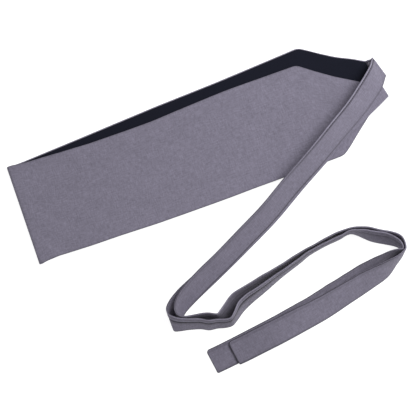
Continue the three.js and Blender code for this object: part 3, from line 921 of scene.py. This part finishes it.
def tip_row(end):
    """A row of stitches across the outside of the panel near one end, 0 or -1."""
    place = TIP_SEAM if end == 0 else outer_along[-1] - TIP_SEAM
    row = int(np.argmin(abs(outer_along - place)))
    face = range(3, len(OUTSIDE_HEM) * 2 + WIDTH_COLUMNS - 2 - 3)
    line = outer_skin[row, face]
    outward = np.cross(outer_skin[row + 1, face] - outer_skin[row, face], np.gradient(line, axis=0))
    outward /= np.linalg.norm(outward, axis=1, keepdims=True)
    return sew(line + SEAM_LIFT * outward, outward, 0.5, 0.5)


tip_thread = link("tip_stitches", thread_mesh("tip_stitches", [tip_row(0), tip_row(-1)]))

# %% [markdown]
# ## Woven cloth
#
# The grey cloth is a plain weave of slightly uneven yarn: thicker stretches, called slubs, make short light
# and dark dashes along both thread directions. The cloth UV map is in metres, so each texture's scale is a
# real one: threads half a millimetre apart, and slubs about six millimetres long. The weave and the slubs
# also drive a bump, and the weave paints a faint highlight and shade over its crossings. The second UV map
# holds painted shade for the grooves, seams and edges and painted highlight for edges that face the light.
# A little sheen stands for the fibre ends. An image of cloth would show its tile edges; these textures have
# none.

# %% Help to wire a material
def wire(tree, kind, inputs, **settings):
    """A new node. An input is a value, or another node's output."""
    node = tree.nodes.new(kind)
    for name, value in settings.items():
        setattr(node, name, value)
    for key, value in inputs.items():
        if isinstance(value, bpy.types.NodeSocket):
            tree.links.new(value, node.inputs[key])
        else:
            node.inputs[key].default_value = value
    return node


def maths(tree, operation, a, b):
    return wire(tree, "ShaderNodeMath", {0: a, 1: b}, operation=operation).outputs[0]


def dashes(tree, place, spacing, start, detail):
    """Noise from 0 to 1 with marks of a size in metres. Another start gives another pattern."""
    scale = [1 / spacing[0], 1 / spacing[1], 1]
    stretched = wire(tree, "ShaderNodeVectorMath", {0: place, 1: scale}, operation="MULTIPLY").outputs[0]
    moved = {0: stretched, 1: (0, 0, start)}
    shifted = wire(tree, "ShaderNodeVectorMath", moved, operation="ADD").outputs[0]
    return wire(tree, "ShaderNodeTexNoise", {"Vector": shifted, "Scale": 1.0, "Detail": detail}).outputs[0]


# %% Weave a material
Yarn = namedtuple("Yarn", "colour pitch slub tone roughness sheen bump")
SLUB_LENGTH = 0.006
SLUB_THREADS = 2.5
WEFT_START = 7.0
CLOUD_SIZE = 0.02
CLOUD_START = 3.0
CLOUD_DETAIL = 4.0
WEAVE_LIGHT = 0.04
WEAVE_HEIGHT = 0.5
SLUB_ROUGHNESS = 0.1
SHADE_GAIN = 1.5
SHADE_FLOOR = 0.25
SHEEN_ROUGHNESS = 0.5


def woven(name, yarn):
    """Woven cloth for UV maps of place and painted shade. Slub and tone are shares of the colour."""
    material = bpy.data.materials.new(name)
    material.use_nodes = True
    tree = material.node_tree
    shader = tree.nodes["Principled BSDF"]
    place = wire(tree, "ShaderNodeUVMap", {}, uv_map="cloth").outputs[0]
    painted_light = wire(tree, "ShaderNodeUVMap", {}, uv_map="painted_light").outputs[0]
    split = wire(tree, "ShaderNodeSeparateXYZ", {0: place}).outputs
    threads = 2 * math.pi / yarn.pitch
    waves = [maths(tree, "SINE", maths(tree, "MULTIPLY", way, threads), 0.0) for way in split[:2]]
    weave = maths(tree, "MULTIPLY", waves[0], waves[1])
    warp = dashes(tree, place, (SLUB_LENGTH, SLUB_THREADS * yarn.pitch), 0.0, 1.0)
    weft = dashes(tree, place, (SLUB_THREADS * yarn.pitch, SLUB_LENGTH), WEFT_START, 1.0)
    slubs = maths(tree, "SUBTRACT", maths(tree, "ADD", warp, weft), 1.0)
    cloud = dashes(tree, place, (CLOUD_SIZE, CLOUD_SIZE), CLOUD_START, CLOUD_DETAIL)
    light = maths(tree, "MULTIPLY", slubs, yarn.slub)
    uneven = maths(tree, "MULTIPLY", maths(tree, "SUBTRACT", cloud, 0.5), yarn.tone)
    light = maths(tree, "ADD", light, uneven)
    # The weave paints a faint highlight and shade over the thread crossings.
    light = maths(tree, "ADD", light, maths(tree, "MULTIPLY", weave, WEAVE_LIGHT))
    # Painted shade and painted highlight from the second UV map scale the colour.
    painted_light_level = wire(tree, "ShaderNodeSeparateXYZ", {0: painted_light}).outputs[0]
    light = maths(tree, "ADD", light, 1.0)
    openness = maths(tree, "ADD", maths(tree, "MULTIPLY", painted_light_level, SHADE_GAIN), SHADE_FLOOR)
    light = maths(tree, "MULTIPLY", light, openness)
    tint = {0: yarn.colour, "Scale": light}
    colour = wire(tree, "ShaderNodeVectorMath", tint, operation="SCALE").outputs[0]
    tree.links.new(colour, shader.inputs["Base Color"])
    rough = maths(tree, "ADD", maths(tree, "MULTIPLY", slubs, SLUB_ROUGHNESS), yarn.roughness)
    tree.links.new(rough, shader.inputs["Roughness"])
    height = maths(tree, "ADD", maths(tree, "MULTIPLY", weave, WEAVE_HEIGHT), slubs)
    bump = wire(tree, "ShaderNodeBump", {"Height": height, "Strength": 1.0, "Distance": yarn.bump})
    tree.links.new(bump.outputs[0], shader.inputs["Normal"])
    shader.inputs["Sheen Weight"].default_value = yarn.sheen
    shader.inputs["Sheen Roughness"].default_value = SHEEN_ROUGHNESS
    shader.inputs["Specular IOR Level"].default_value = DULL_SPECULAR
    return material


# %% Dress the cloth
GREY = (0.185, 0.172, 0.224)
NAVY = (0.0080, 0.0088, 0.0162)
GREY_CLOTH = Yarn(GREY, 0.00055, 0.5, 0.25, 0.9, 0.1, 0.00008)
TIE_CLOTH = Yarn(GREY, 0.0005, 0.5, 0.25, 0.9, 0.1, 0.00008)
NAVY_CLOTH = Yarn(NAVY, 0.0004, 0.3, 0.2, 0.85, 0.0, 0.00005)
outer.data.materials.append(woven("grey cloth", GREY_CLOTH))
lining.data.materials.append(woven("navy lining", NAVY_CLOTH))
tie_woven = woven("grey tie cloth", TIE_CLOTH)
back_tie.data.materials.append(tie_woven)
front_tie.data.materials.append(tie_woven)

# %% [markdown]
# ## Thread
#
# The thread is spun from the same grey, a shade darker. It is twisted, so it has fine slanting ridges. They
# are far too small to see from here, and a noise in the thread's own space is enough to break up its light.

# %% Spin the thread
THREAD_COLOUR = (0.16, 0.148, 0.195)
FIBRE_SCALE = 2200.0
FIBRE_CONTRAST = 0.4
FIBRE_DARKEST = 0.8
FIBRE_BUMP = 0.00005
THREAD_ROUGHNESS = 0.75
THREAD_SHEEN = 0.15
thread = bpy.data.materials.new("grey thread")
thread.use_nodes = True
thread_tree = thread.node_tree
thread_shader = thread_tree.nodes["Principled BSDF"]
thread_place = wire(thread_tree, "ShaderNodeTexCoord", {}).outputs["Object"]
fibre_look = {"Vector": thread_place, "Scale": FIBRE_SCALE, "Detail": 2.0}
fibre = wire(thread_tree, "ShaderNodeTexNoise", fibre_look).outputs[0]
fibre_share = maths(thread_tree, "MULTIPLY", fibre, FIBRE_CONTRAST)
thread_light = maths(thread_tree, "ADD", fibre_share, FIBRE_DARKEST)
thread_tint = wire(
    thread_tree, "ShaderNodeVectorMath", {0: THREAD_COLOUR, "Scale": thread_light}, operation="SCALE"
).outputs[0]
thread_tree.links.new(thread_tint, thread_shader.inputs["Base Color"])
thread_bump = wire(thread_tree, "ShaderNodeBump", {"Height": fibre, "Distance": FIBRE_BUMP})
thread_tree.links.new(thread_bump.outputs[0], thread_shader.inputs["Normal"])
thread_shader.inputs["Roughness"].default_value = THREAD_ROUGHNESS
thread_shader.inputs["Sheen Weight"].default_value = THREAD_SHEEN
for sewn in (back_thread, front_thread, tip_thread):
    sewn.data.materials.append(thread)

# %% [markdown]
# ## Tie each piece to the frame
#
# Every piece moves with the one body of the frame and stands for its solid, which is hidden.


def declare(piece, node, sewn):
    """Tie a cloth piece and its stitches to the frame, and hide its solid."""
    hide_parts(node)
    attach(piece, "root")
    for row in sewn:
        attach(row, "root")


outer_rulings = (outer_feet, outer_tops, outer_along)
lining_rulings = (lining_feet, lining_tops, lining_along)
back_rulings = (back_feet, back_tops, back_along)
front_rulings = (front_feet, front_tops, front_along)
for piece, node, slot, (feet, tops, along), held, under, sewn in (
    (outer, "outer_cloth", "outer_cloth", outer_rulings, "folded", [], [tip_thread]),
    (lining, "lining_cloth", "lining", lining_rulings, "folded", [outer], []),
    (back_tie, "back_tie", "tie_cloth", back_rulings, "laid", [outer], [back_thread]),
    (front_tie, "front_tie", "tie_cloth", front_rulings, "laid", [outer], [front_thread]),
):
    declare(piece, node, sewn)

# %% [markdown]
# ## Boxes as plain numbers, and the end
#
# A box's corners are turned into plain numbers. The cloth may stand a little proud of its solids, and no
# more.

# %% Turn a box into plain numbers
def plain(box):
    return [[float(value) for value in corner] for corner in box]
